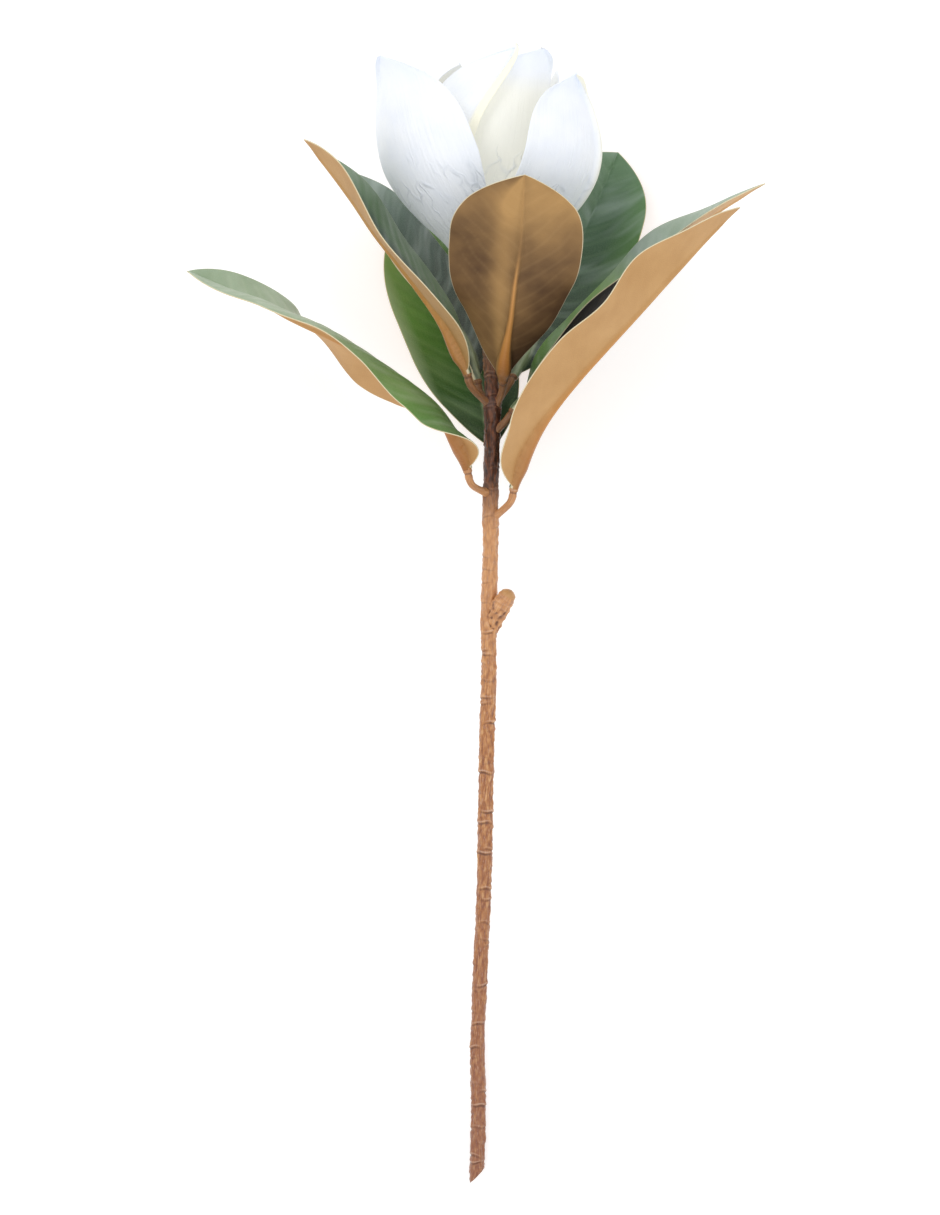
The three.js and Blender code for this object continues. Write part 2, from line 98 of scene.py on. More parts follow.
LEAVES = {
    "leaf_1": {
        "stalk": [-0.4, 380, 0],
        "spine": [
            [-12.5, 393, 14], [-17, 408.5, 16], [-28, 427, 18], [-45, 441.5, 20], [-65, 454, 20],
            [-78, 460.8, 20], [-92, 467.5, 20], [-109, 475.5, 20], [-121, 482, 18], [-141, 490, 14],
            [-166, 502, 8],
        ],
        "up": [0.4, 1, 0],
        "width": 68,
        "shares": [1, 0.9],
        "outline": [0.5, 5, 3.2],
        "left": [80, 0, -5, 10, 20, 16, 12, 8],
        "right": [10, -5, -25, -30, -5, 15, 35, 60],
        "curl": [-40, 0],
        "ripple": 0.5,
        "look": "pale",
    },
    "leaf_2": {
        "stalk": [1, 428, 0],
        "spine": [
            [-12.6, 446, 12], [-15.5, 455, 15], [-23, 470, 20], [-35, 486, 25], [-48, 503, 27],
            [-62, 520.5, 26], [-75, 539.5, 24], [-90, 559.5, 20], [-101.5, 573.5, 16],
        ],
        "up": [0.81, 0.58, 0],
        "width": 70,
        "shares": [1, 1],
        "outline": [0.55, 3, 2.6],
        "left": [14, 10, 5, 0, 4, 12, 12],
        "right": [25, 22, 20, 20, 24, 28, 20],
        "curl": [0, 0],
        "look": "edged",
    },
    "leaf_3": {
        "stalk": [0.8, 396, 0],
        "spine": [
            [2, 405, -10], [-3, 432, -20], [-15, 464, -36], [-28, 495, -51], [-40, 523, -60],
            [-50, 548, -61.6],
        ],
        "up": [0, 0, 1],
        "width": 66,
        "shares": [1, 0.88],
        "outline": [0.55, 3.3, 2.4],
        "left": [4, 16, 22, 22, 18],
        "right": [10, 12, 18, 16, 12],
        "curl": [12, 10],
        "look": "bright",
    },
    "leaf_4": {
        "stalk": [1.2, 423, 0],
        "spine": [
            [7, 442, 12], [8, 455, 26], [11, 473, 46], [13, 490, 62], [16, 511, 80], [17, 531, 96],
            [18, 546, 106],
        ],
        "up": [0, 0, 1],
        "width": 78,
        "shares": [1, 0.86],
        "outline": [0.62, 1.9, 3.5],
        "left": [-25, -20, -14, -10, -8],
        "right": [-25, -20, -14, -10, -8],
        "curl": [0, 0],
        "face_down": True,
        "rib": 0.45,
        "look": "deep",
        "under": "dark",
    },
    "leaf_5": {
        "stalk": [1.4, 427, 0],
        "spine": [
            [13, 445, -4], [24, 465, -20], [38, 492, -43], [50, 520, -56.2], [61, 546, -62.5],
            [72.5, 574, -63.6],
        ],
        "up": [0, 0, 1],
        "width": 74,
        "shares": [1, 0.88],
        "outline": [0.66, 1.7, 4],
        "left": [10, 14, 20, 18, 15],
        "right": [-26, -20, 4, 24, 28],
        "curl": [0, 5],
        "look": "glossy",
    },
    "leaf_6": {
        "stalk": [0.3, 366, 0],
        "spine": [
            [13, 383, 8], [17.5, 401, 12], [26, 416, 15], [38, 431, 20], [51, 446, 25], [79, 476, 33],
            [101, 500, 36], [121, 521.5, 36], [135.5, 535, 34],
        ],
        "up": [-0.75, 0.66, 0],
        "width": 74,
        "shares": [1, 1],
        "outline": [0.45, 4.3, 4.6],
        "left": [15, 12, 10, 10, 8, 5],
        "right": [28, 22, 30, 34, 27, 35, 20, 10],
        "curl": [0, 0],
        "ripple": 1,
        "look": "deep",
    },
    "leaf_7": {
        "stalk": [1.2, 413, 0],
        "spine": [
            [13, 426, 3], [22, 438, 2], [39, 457, -3], [61, 481, -8], [85, 504, -12], [108, 524, -14],
            [131, 540, -14], [152, 552, -12],
        ],
        "up": [-0.75, 0.66, 0],
        "width": 58,
        "shares": [0.8, 1],
        "outline": [0.5, 3, 2.6],
        "left": [-20, 35, 30, 30, 40, 20, 15],
        "right": [12, 15, 15, 8, 4, 5, 8],
        "curl": [0, 0],
        "ripple": 1,
        "look": "strip",
        "under": "shaded",
    },
    "leaf_8": {
        "stalk": [1, 431, 0],
        "spine": [
            [-7, 443, -9], [-12, 462, -14], [-26, 487, -22], [-45, 513, -28], [-61, 540, -31],
            [-77, 560, -32],
        ],
        "up": [0.84, 0.54, 0.7],
        "width": 66,
        "shares": [0.5, 0.8],
        "outline": [0.55, 2.6, 2.5],
        "left": [10, 5, 0, 0, 0],
        "right": [15, 12, 10, 8, 8],
        "curl": [0, 0],
        "look": "grey",
    },
}

BLOOM_X, BLOOM_Y = 0.5, 484.0
BASE_OUTLINE = [
    [0, -8], [4.4, -8], [6.5, -6], [10, -2.2], [10.2, -0.6], [7.7, -0.4], [7.6, 1.8], [5.9, 2],
    [5.7, 5.2], [3.9, 5.4], [4.1, 10], [3.6, 18], [1.8, 25], [0, 27],
]
BASE_SIDES = 16
BASE_FINE_ROWS, BASE_FINE_SIDES = 90, 48

OUTER_FOOT = [[9, 0], [12, 12], [24, 31], [40, 46]]
MIDDLE_FOOT = [[6.9, 2.5], [9.6, 13], [20.5, 32], [36.5, 47.5]]
INNER_FOOT = [[4.9, 6], [7, 16], [14, 32], [24.5, 48]]
INMOST_FOOT = [[4.9, 6], [6.6, 16], [12, 32], [20.5, 49]]
PETAL_THICKNESS = 0.95
PETAL_FOOT_HALF_WIDTH = 3.4
PETAL_FOOT_SPREAD = 37
PETAL_FOOT_END, PETAL_FULL_START = 0.28, 0.45
PETAL_EDGE_WAVE, PETAL_EDGE_ROLL, PETAL_ROLL_RISE = 1.1, 1.4, 2.2
PETAL_THINNING = 0.45
PETAL_DRIFT_POWER = 3  # how late a petal turns aside on its way up
PETAL_HOOK_POWER = 10
PETAL_GLOW = 0.2  # stands for the light that shines through a petal
PETALS = {
    "petal_1": {
        "azimuth": -40,
        "drift": -26,
        "meridian": OUTER_FOOT + [
            [51, 59], [58, 72], [61.5, 88], [62, 103], [61, 120], [62.5, 127], [66, 134],
        ],
        "spread": 40,
        "width": 84,
        "outline": [0.58, 2.6, 4.4],
    },
    "petal_2": {
        "azimuth": 38,
        "drift": 24,
        "meridian": OUTER_FOOT + [
            [50, 55], [58, 67], [60.5, 79], [59, 91], [54.5, 105], [51, 115], [52, 125],
        ],
        "rolled": [0.8, 0.97],
        "spread": 38,
        "width": 60,
        "outline": [0.55, 2.6, 5],
    },
    "petal_3": {
        "azimuth": 98,
        "drift": 0,
        "meridian": MIDDLE_FOOT + [[47, 57], [55, 68], [57.5, 79], [56, 91], [51, 103], [46, 112]],
        "spread": 35,
        "width": 68,
        "outline": [0.55, 2.6, 2.8],
    },
    "petal_4": {
        "azimuth": -112,
        "drift": 0,
        "meridian": MIDDLE_FOOT + [[47, 58], [55, 72], [57.5, 88], [54, 104], [47, 118], [38, 129]],
        "spread": 35,
        "width": 72,
        "outline": [0.55, 2.6, 2.8],
    },
    "petal_5": {
        "azimuth": 173,
        "drift": 0,
        "meridian": MIDDLE_FOOT + [[45, 57], [52, 71], [54, 86], [51, 102], [46, 116], [43, 126]],
        "spread": 35,
        "width": 72,
        "outline": [0.55, 2.6, 2.8],
    },
    "petal_6": {
        "azimuth": -60,
        "drift": 60,
        "hook": 28,
        "rolled": [0.62, 0.84],
        "meridian": INNER_FOOT + [
            [31, 62], [36.5, 80], [38.5, 96], [37.5, 112], [35, 124], [32.5, 132], [31, 139],
        ],
        "spread": 62,
        "width": 42,
        "outline": [0.45, 2.6, 6],
    },
    "petal_7": {
        "azimuth": 28,
        "drift": 28,
        "meridian": INMOST_FOOT + [
            [28, 64], [32.5, 80], [34, 96], [33, 110], [31, 122], [31.5, 132], [34, 139],
        ],
        # painted shade: grey cream below the turned-out top
        "shade_below_top": 0.6,
        "spread": 62,
        "width": 64,
        "outline": [0.62, 2.6, 6.5],
    },
    "petal_8": {
        "azimuth": 118,
        "drift": -10,
        "meridian": INNER_FOOT + [[31, 62], [36.5, 80], [38.5, 96], [38, 110], [37, 120], [38, 130]],
        "spread": 50,
        "width": 58,
        "outline": [0.6, 2.6, 3],
    },
    "petal_9": {
        "azimuth": -138,
        "drift": 8,
        "meridian": INMOST_FOOT + [[28.5, 64], [33.5, 80], [35.5, 96], [35, 110], [30, 124], [22, 134]],
        "spread": 50,
        "width": 60,
        "outline": [0.6, 2.6, 3],
    },
}

# ---------------------------------------------------------------- curves and fields


def blend(values, t):
    """A smooth value at each t, 0 to 1, from evenly spaced values."""
    values, t = np.asarray(values, float), np.asarray(t, float)
    last = len(values) - 1
    index = np.clip((t * last).astype(int), 0, last - 1)
    u = t * last - index
    a, b = values[index], values[index + 1]
    before, after = values[np.maximum(index - 1, 0)], values[np.minimum(index + 2, last)]
    slope_a = np.where(index > 0, (b - before) / 2, b - a)
    slope_b = np.where(index + 2 <= last, (after - a) / 2, b - a)
    u2, u3 = u * u, u * u * u
    leaving = (2 * u3 - 3 * u2 + 1) * a + (u3 - 2 * u2 + u) * slope_a
    return leaving + (3 * u2 - 2 * u3) * b + (u3 - u2) * slope_b


def outline_share(outline, t):
    """Half width, 0 to 1, at each t; outline holds the widest place and the powers below and above it."""
    widest, base_power, tip_power = outline
    low = 1 - np.abs(1 - t / widest) ** base_power
    high = 1 - np.abs((t - widest) / (1 - widest)) ** tip_power
    return np.where(t < widest, low, high)


def smoothstep(t, low, high):
    """0 below low, 1 above high, and a smooth step between them."""
    u = np.clip((t - low) / (high - low), 0, 1)
    return u * u * (3 - 2 * u)


def unit(vectors):
    return vectors / np.maximum(np.linalg.norm(vectors, axis=-1, keepdims=True), 1e-12)


class Curve:
    """A smooth curve through the points, read by its share of the whole length."""

    steps = 60

    def __init__(self, points):
        p = np.asarray(points, float)
        p = np.vstack([2 * p[0] - p[1], p, 2 * p[-1] - p[-2]])
        u = np.linspace(0, 1, self.steps, endpoint=False)[:, None]
        pieces = []
        for i in range(1, len(p) - 2):
            d0, d1, d2 = (np.linalg.norm(p[k + 1] - p[k]) ** 0.5 for k in (i - 1, i, i + 1))
            a, b = p[i], p[i + 1]
            ta = ((a - p[i - 1]) / d0 - (b - p[i - 1]) / (d0 + d1) + (b - a) / d1) * d1
            tb = ((b - a) / d1 - (p[i + 2] - a) / (d1 + d2) + (p[i + 2] - b) / d2) * d1
            pieces.append(a + ta * u + (3 * (b - a) - 2 * ta - tb) * u**2 + (2 * (a - b) + ta + tb) * u**3)
        self.points = np.vstack([*pieces, p[-2:-1]])
        lengths = np.linalg.norm(np.diff(self.points, axis=0), axis=1)
        self.reached = np.concatenate([[0], np.cumsum(lengths)])
        self.length = self.reached[-1]
        self.ways = unit(np.gradient(self.points, self.reached, axis=0))

    def at(self, t):
        where = np.asarray(t, float) * self.length
        columns = [np.interp(where, self.reached, column) for column in self.points.T]
        return np.stack(columns, -1)

    def along(self, t):
        where = np.asarray(t, float) * self.length
        columns = [np.interp(where, self.reached, column) for column in self.ways.T]
        return unit(np.stack(columns, -1))


def waves(seed, *coordinates, count=5):
    """A smooth random field of about -1 to 1 over the given coordinates, in turns of each."""
    own = np.random.default_rng(seed)
    total = 0
    for _ in range(count):
        turns = own.normal(0, 1, len(coordinates))
        phase = sum(k * c for k, c in zip(turns, coordinates)) * 2 * math.pi + own.uniform(0, 2 * math.pi)
        total = total + np.sin(phase)
    return total / count**0.5


def ridge(distance, width):
    """1 at no distance, falling smoothly to near 0 at twice the width."""
    return np.exp(-((distance / width) ** 2))


# ---------------------------------------------------------------- placing

lay = Matrix.Rotation(LAY_ANGLE, 3, "X")
LAY = np.array(lay)


def base_low_corner():
    """The low corner of the bloom's base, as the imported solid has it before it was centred."""
    outline = np.array(BASE_OUTLINE, float)
    turn = 2 * math.pi * np.arange(BASE_SIDES) / BASE_SIDES
    x = BLOOM_X + outline[:, :1] * np.sin(turn)
    y = BLOOM_Y + outline[:, 1:] + 0 * turn
    z = outline[:, :1] * np.cos(turn)
    return (np.stack([x, y, z], -1).reshape(-1, 3) @ LAY.T).min(0)


low_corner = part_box("bloom_base")[0]
CENTRE_SHIFT = np.array([low_corner.x, low_corner.y, 0]) / MM - base_low_corner() * [1, 1, 0]
TO_SHARED = CENTRE_SHIFT + np.array([0, 0, STEM_LIFT])


def lay_down(points):
    """Branch frame in millimetres to the shared frame in metres; nothing goes under the surface."""
    placed = points @ LAY.T + TO_SHARED
    placed[:, 2] = np.maximum(placed[:, 2], 0)
    return placed * MM


def ring_faces(rows, sides, start=0):
    """Four-sided faces between neighbouring rings, whose points are numbered from start."""
    i, k = np.meshgrid(np.arange(rows - 1), np.arange(sides), indexing="ij")
    a = start + i * sides + k
    b = start + i * sides + (k + 1) % sides
    return np.stack([a, b, b + sides, a + sides], -1).reshape(-1, 4)


def add_piece(name, node, points, faces, materials, face_materials=None, fields=None):
    """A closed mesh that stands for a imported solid, with its fields kept on its points."""
    points = lay_down(points)
    a, b, c, d = (points[faces[:, k]] for k in range(4))
    volume = (np.cross(a, b) * c).sum() + (np.cross(a, c) * d).sum()
    if volume < 0:
        faces = faces[:, ::-1]
    mesh = bpy.data.meshes.new(name)
    mesh.from_pydata(points.tolist(), [], [list(dict.fromkeys(face)) for face in faces.tolist()])
    for material in materials:
        mesh.materials.append(material)
    if face_materials is not None:
        mesh.polygons.foreach_set("material_index", face_materials.astype(np.int32))
    for key, values in (fields or {}).items():
        attribute = mesh.attributes.new(key, "FLOAT", "POINT")
        attribute.data.foreach_set("value", np.asarray(values, np.float32).ravel())
    mesh.shade_smooth()
    mesh.update()
    piece = bpy.data.objects.new(name, mesh)
    bpy.context.scene.collection.objects.link(piece)
    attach(piece, "root")
    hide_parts(node)
    return piece


# ---------------------------------------------------------------- materials


def colour(code):
    """A linear colour from a hexadecimal screen colour."""
    channels = [(code >> shift & 255) / 255 for shift in (16, 8, 0)]
    return (*[c / 12.92 if c <= 0.04045 else ((c + 0.055) / 1.055) ** 2.4 for c in channels], 1)


class Look:
    """A material built from nodes; values are sockets or plain numbers."""

    def __init__(self, name, **shader_values):
        self.material = bpy.data.materials.new(name)
        self.material.use_nodes = True
        self.nodes = self.material.node_tree.nodes
        self.links = self.material.node_tree.links
        self.shader = self.nodes["Principled BSDF"]
        for key, value in shader_values.items():
            self.shader.inputs[key.replace("_", " ")].default_value = value

    def feed(self, socket, value):
        if isinstance(value, bpy.types.NodeSocket):
            self.links.new(value, socket)
        else:
            socket.default_value = value

    def field(self, name):
        node = self.nodes.new("ShaderNodeAttribute")
        node.attribute_name = name
        return node.outputs["Fac"]

    def place(self):
        return self.nodes.new("ShaderNodeTexCoord").outputs["Object"]

    def sheet(self, across, along):
        """Coordinates from two fields, in millimetres over the surface."""
        node = self.nodes.new("ShaderNodeCombineXYZ")
        self.feed(node.inputs["X"], across)
        self.feed(node.inputs["Y"], along)
        return node.outputs["Vector"]

    def stretch(self, vector, scale):
        node = self.nodes.new("ShaderNodeMapping")
        self.feed(node.inputs["Vector"], vector)
        node.inputs["Scale"].default_value = scale
        return node.outputs["Vector"]

    def noise(self, vector, scale, detail=3.0, roughness=0.55):
        node = self.nodes.new("ShaderNodeTexNoise")
        self.feed(node.inputs["Vector"], vector)
        node.inputs["Scale"].default_value = scale
        node.inputs["Detail"].default_value = detail
        node.inputs["Roughness"].default_value = roughness
        return node.outputs["Fac"]

    def cells(self, vector, scale):
        node = self.nodes.new("ShaderNodeTexVoronoi")
        node.feature = "DISTANCE_TO_EDGE"
        self.feed(node.inputs["Vector"], vector)
        node.inputs["Scale"].default_value = scale
        return node.outputs["Distance"]

    def dots(self, vector, scale):
        node = self.nodes.new("ShaderNodeTexVoronoi")
        self.feed(node.inputs["Vector"], vector)
        node.inputs["Scale"].default_value = scale
        return node.outputs["Distance"]

    def fit(self, value, low, high, to_low=0.0, to_high=1.0):
        node = self.nodes.new("ShaderNodeMapRange")
        node.clamp = True
        self.feed(node.inputs["Value"], value)
        for key, number in zip(("From Min", "From Max", "To Min", "To Max"), (low, high, to_low, to_high)):
            node.inputs[key].default_value = number
        return node.outputs["Result"]

    def combine(self, kind, a, b):
        node = self.nodes.new("ShaderNodeMath")
        node.operation = kind
        self.feed(node.inputs[0], a)
        self.feed(node.inputs[1], b)
        return node.outputs["Value"]

    def mix(self, share, a, b, kind="MIX"):
        node = self.nodes.new("ShaderNodeMix")
        node.data_type = "RGBA"
        node.blend_type = kind
        self.feed(node.inputs[0], share)
        self.feed(node.inputs[6], a)
        self.feed(node.inputs[7], b)
        return node.outputs[2]

    def ramp(self, value, stops):
        node = self.nodes.new("ShaderNodeValToRGB")
        self.feed(node.inputs["Fac"], value)
        elements = node.color_ramp.elements
        while len(elements) < len(stops):
            elements.new(0.5)
        for element, (place, code) in zip(elements, stops):
            element.position = place
            element.color = colour(code)
        return node.outputs["Color"]

    def bump(self, *layers):
        """Bump layers of (height, distance in millimetres), the last on top."""
        normal = None
        for height, distance in layers:
            node = self.nodes.new("ShaderNodeBump")
            node.inputs["Strength"].default_value = 1.0
            node.inputs["Distance"].default_value = distance * MM
            self.feed(node.inputs["Height"], height)
            if normal:
                self.links.new(normal, node.inputs["Normal"])
            normal = node.outputs["Normal"]
        self.links.new(normal, self.shader.inputs["Normal"])

    def paint(self, base, roughness):
        self.feed(self.shader.inputs["Base Color"], base)
        self.feed(self.shader.inputs["Roughness"], roughness)
        return self.material


# upper faces: colours from base to tip (the darkest, at the base, partly painted shade where the leaves
# crowd round the stem), the veins' colour, the painted highlight streaks' colour with its share, and bands
# along the leaf, each with the distances from the midrib where it begins and is full
LEAF_LOOKS = {
    "pale": (
        [(0, 0x3E6A28), (0.3, 0x6A9547), (0.55, 0x87A374), (1, 0x9CAE96)],
        0xB5C4A5, (0xB9C8B0, 0.2), [],
    ),
    "deep": (
        [(0, 0x101D14), (0.4, 0x1C331F), (0.75, 0x2B482C), (1, 0x48663F)],
        0x6E8B64, (0xA3B1A7, 0.5), [],
    ),
    "edged": (
        [(0, 0x101D14), (0.4, 0x1C331F), (0.75, 0x2B482C), (1, 0x48663F)],
        0x6E8B64, (0x9AA89E, 0.3), [(8, 16, 0x4A6F33)],
    ),
    # glossy: the greyish band on the left half is painted sheen
    "glossy": (
        [(0, 0x142218), (0.4, 0x2A442C), (0.75, 0x4A6A4A), (1, 0x6A8A66)],
        0x7E9A74, (0xB4C3BA, 0.45), [(-2, -22, 0x6D866F), (14, 34, 0x628F47)],
    ),
    # bright: the pale band on the left margin is painted highlight, and the dark band on the right is
    # painted shadow cast by leaf_2
    "bright": (
        [(0, 0x14280F), (0.25, 0x38622A), (0.55, 0x679A47), (0.8, 0x82AD63), (1, 0xBFD2B0)],
        0x92B076, (0xA9C295, 0.15), [(-24, -36, 0xBDD0AE), (2, 24, 0x1B3516)],
    ),
    "strip": (
        [(0, 0x35501F), (0.2, 0x6C9140), (0.45, 0x8FAF66), (0.6, 0xA0ADA2), (1, 0x7F9A72)],
        0xB2BFB0, (0xAFBBB2, 0.3), [],
    ),
    "grey": (
        [(0, 0x132017), (0.4, 0x2A3D2E), (0.75, 0x52665A), (1, 0x8A9A8C)],
        0x9FAE9F, (0xB4C0B8, 0.5), [],
    ),
}


def leaf_upper(name, stops, vein_code, painted_sheen_values, bands):
    """Green and glossy, with painted highlight streaks that follow the side veins."""
    look = Look(name, Coat_Weight=0.15, Coat_Roughness=0.3)
    surface = look.sheet(look.field("across"), look.field("along"))
    # the ramp is darkest at the leaf's base, partly as painted shade where the leaves crowd round the stem
    body = look.ramp(look.field("share"), stops)
    cloud = look.noise(surface, 0.05, 4)
    dusted = look.mix(1.0, body, colour(0xB4C9A2), "MULTIPLY")
    body = look.mix(look.fit(cloud, 0.35, 0.7, 0, 0.4), body, dusted)
    # bands are the leaf's own colour except where LEAF_LOOKS marks them as painted sheen, highlight and
    # shadow
    for low, high, code in bands:
        body = look.mix(look.fit(look.field("across"), low, high, 0, 0.8), body, colour(code))
    # painted highlight: pale streaks along the side veins stand for the light that the glossy blade
    # reflects
    along_veins = look.sheet(look.field("slant"), look.field("across"))
    painted_sheen = look.noise(look.stretch(along_veins, (0.07, 0.022, 1)), 1, 2)
    painted_sheen_code, painted_sheen_share = painted_sheen_values
    body = look.mix(look.fit(painted_sheen, 0.48, 0.74, 0, painted_sheen_share), body, colour(painted_sheen_code))
    speck = look.noise(surface, 1.4, 3)
    body = look.mix(look.fit(speck, 0.4, 0.75, 0, 0.22), body, colour(vein_code))
    body = look.mix(look.fit(look.field("vein"), 0.1, 1, 0, 0.14), body, colour(vein_code))
    body = look.mix(look.fit(look.field("rib"), 0.3, 1, 0, 0.7), body, colour(0xB9C49A))
    body = look.mix(look.fit(look.field("margin"), 0.3, 1, 0, 0.6), body, colour(0xD6D6AE))
    look.bump((look.cells(surface, 0.6), 0.12), (speck, 0.1))
    return look.paint(body, look.fit(cloud, 0.3, 0.7, 0.3, 0.46))


def leaf_under(name, dark, light):
    """Brown and felted, between two colours by the tone field, with a smooth orange midrib; on some leaves
    the tone field is painted light and shade.
    """
    look = Look(name)
    surface = look.sheet(look.field("across"), look.field("along"))
    cloud = look.noise(surface, 0.028, 3)
    tone = look.combine("ADD", look.field("tone"), look.fit(cloud, 0.3, 0.7, -0.25, 0.25))
    body = look.mix(look.fit(tone, 0, 1), colour(dark), colour(light))
    nap = look.noise(look.stretch(surface, (2.2, 1, 1)), 1.6, 5, 0.7)
    body = look.mix(look.fit(nap, 0.35, 0.75, 0, 0.28), body, colour(0x7A5430), "MULTIPLY")
    body = look.mix(look.fit(look.field("vein"), 0.2, 1, 0, 0.05), body, colour(0xD9B27A))
    rib_stops = [(0, 0x8E5420), (0.12, 0xA9692B), (0.25, 0xBF8038), (0.6, 0xC58D4C)]
    ribbed = look.ramp(look.field("share"), rib_stops)
    ribbed = look.mix(look.fit(nap, 0.3, 0.7, 0, 0.3), ribbed, colour(0xD79F58))
    body = look.mix(look.field("rib"), body, ribbed)
    body = look.mix(look.fit(look.field("margin"), 0.2, 1, 0, 0.9), body, colour(0xEADFC2))
    look.bump((nap, 0.1))
    return look.paint(body, look.fit(look.field("rib"), 0.2, 1, 0.7, 0.38))


def leaf_rim():
    """The pale cut edge of a blade."""
    look = Look("leaf_rim")
    speck = look.noise(look.place(), 900, 3)
    body = look.mix(speck, colour(0xCFC093), colour(0xEBE1C4))
    return look.paint(body, look.fit(speck, 0.3, 0.7, 0.5, 0.7))


def petal_look(name, white, shade, cream):
    """White with bluish painted shade at the curled tip, a cream foot, fine creases and a net of veins in
    the lower part.
    """
    look = Look(name, Sheen_Weight=0.1, Emission_Color=(0.96, 0.98, 1, 1), Emission_Strength=PETAL_GLOW)
    surface = look.sheet(look.field("across"), look.field("along"))
    share = look.field("share")
    cloud = look.noise(surface, 0.04, 3)
    body = look.mix(look.fit(cloud, 0.35, 0.7), colour(white), colour(shade))
    # painted shade: bluish towards the curled tip
    body = look.mix(look.fit(share, 0.86, 1, 0, 0.55), body, colour(0xDCE5F6))
    body = look.mix(look.fit(share, 0.4, 0.1, 0, 0.6), body, colour(cream))
    # tint: cream on rolled edges, and painted shade below petal_7's turned-out top
    body = look.mix(look.field("tint"), body, colour(0xE6E3CF))
    wander = look.fit(look.noise(surface, 0.06, 2), 0.2, 0.8, -5, 5)
    bent = look.sheet(look.combine("ADD", look.field("across"), wander), look.field("along"))
    network = look.cells(look.stretch(bent, (0.1, 0.036, 1)), 1)
    patches = look.fit(look.noise(surface, 0.05, 2), 0.42, 0.58)
    shown = look.combine("MULTIPLY", look.fit(share, 0.66, 0.5), patches)
    line = look.combine("MULTIPLY", look.fit(network, 0, 0.07, 1, 0), shown)
    body = look.mix(look.combine("MULTIPLY", line, 0.5), body, colour(0xAEB7C6))
    creases = look.noise(look.stretch(surface, (0.5, 0.03, 1)), 1, 3)
    grain = look.noise(look.stretch(surface, (3, 0.6, 1)), 1.1, 4, 0.6)
    look.bump((creases, 0.5), (line, 0.5), (grain, 0.08))
    return look.paint(body, look.fit(grain, 0.3, 0.7, 0.5, 0.66))


def bark_look():
    """Orange brown with paler rings and painted shadow in the dents below them, reddish towards the leaves.
    """
    look = Look("bark", Coat_Weight=0.25, Coat_Roughness=0.3)
    around, along = look.field("around"), look.field("along")
    surface = look.sheet(around, along)
    streaks = look.noise(look.stretch(surface, (0.5, 0.2, 1)), 1, 4, 0.6)
    hollows = look.fit(look.field("groove"), -1, 1, 0, 0.35)
    tone = look.combine("ADD", look.fit(streaks, 0.3, 0.7, 0, 0.65), hollows)
    body = look.ramp(tone, [(0.1, 0x6E3F27), (0.35, 0x9E6235), (0.6, 0xC0834B), (0.95, 0xE2B47E)])
    cloud = look.noise(surface, 0.12, 3)
    body = look.mix(look.fit(cloud, 0.4, 0.7, 0, 0.5), body, colour(0x96592F))
    body = look.mix(look.fit(along, 260, 20, 0, 0.6), body, colour(0x7E4A38))
    body = look.mix(look.fit(along, 250, 330, 0, 0.4), body, colour(0xE0A873))
    bloom = look.noise(look.stretch(surface, (0.7, 0.35, 1)), 0.7, 4, 0.65)
    body = look.mix(look.fit(bloom, 0.56, 0.7, 0, 0.5), body, colour(0xCFAE9E))
    dark = look.ramp(tone, [(0.1, 0x26120A), (0.5, 0x552B16), (0.9, 0x8C512D)])
    body = look.mix(look.fit(look.field("red"), 0, 1), body, dark)
    ring = look.mix(look.field("red"), colour(0xE6C9B2), colour(0xA87654))
    body = look.mix(look.fit(look.field("ring"), 0.2, 0.9, 0, 0.6), body, ring)
    # painted shadow: dark brown in the dents below the rings, in the stub's folds and between the stalks'
    # collar rings
    body = look.mix(look.fit(look.field("dent_shade"), 0.15, 0.8, 0, 0.75), body, colour(0x55301F))
    spots = look.dots(look.stretch(surface, (1.0, 0.45, 1)), 0.4)
    body = look.mix(look.fit(spots, 0.05, 0.14, 0.3, 0), body, colour(0xDDB896))
    body = look.mix(look.field("cut"), body, look.mix(streaks, colour(0xA9743F), colour(0xCFA069)))
    look.bump((streaks, 0.35), (look.noise(surface, 1.6, 3), 0.2))
    return look.paint(body, look.fit(streaks, 0.3, 0.7, 0.38, 0.6))


def base_look():
    """The green and cream bloom base."""
    look = Look("bloom_base")
    speck = look.noise(look.place(), 300, 4)
    look.bump((speck, 0.2))
    body = look.ramp(speck, [(0.3, 0x8F9A55), (0.55, 0xB9B57A), (0.75, 0xD6CFA0)])
    return look.paint(body, 0.6)


RIM = leaf_rim()
LOWER = {
    "tan": leaf_under("leaf_under", 0xB8894F, 0xDBAF76),
    # the dark underside: its dark colour partly the leaf's brown and partly painted shade, its light colour
    # painted light
    "dark": leaf_under("leaf_under_dark", 0x55381A, 0xBA9158),
    "shaded": leaf_under("leaf_under_shaded", 0x2A1A0E, 0xD9AF7C),
}
UPPER = {key: leaf_upper(f"leaf_upper_{key}", *value) for key, value in LEAF_LOOKS.items()}
PETAL_OUTER = petal_look("petal_outer", 0xE1E4EA, 0xD7DCE6, 0xDBDACD)
PETAL_INNER = petal_look("petal_inner", 0xD9D7CC, 0xD1CEC0, 0xC7C3AD)
BARK = bark_look()
BASE = base_look()

# ---------------------------------------------------------------- leaves


def soft_max(a, b, width):
    """The larger value, rounded off where the two meet."""
    return (a + b + np.sqrt((a - b) ** 2 + width**2)) / 2


def sheet_rings(middle, normal, outward, top, under):
    """Rings round a sheet: its upper points, a rim point, its lower points back, a rim point."""
    upper = middle + normal * top[..., None]
    lower = middle - normal * under[..., None]
    bulge = (top[:, [0, -1]] + under[:, [0, -1]]) * RIM_BULGE
    centre = (upper[:, [0, -1]] + lower[:, [0, -1]]) / 2
    rim = centre + outward * bulge[..., None]
    return np.concatenate([upper, rim[:, 1:], lower[:, ::-1], rim[:, :1]], axis=1)


def ring_fields(fields):
    """Fields over a sheet, repeated for the points of its rings."""
    made = {}
    for key, values in fields.items():
        right, left = values[:, -1:], values[:, :1]
        made[key] = np.concatenate([values, right, values[:, ::-1], left], axis=1)
    return made


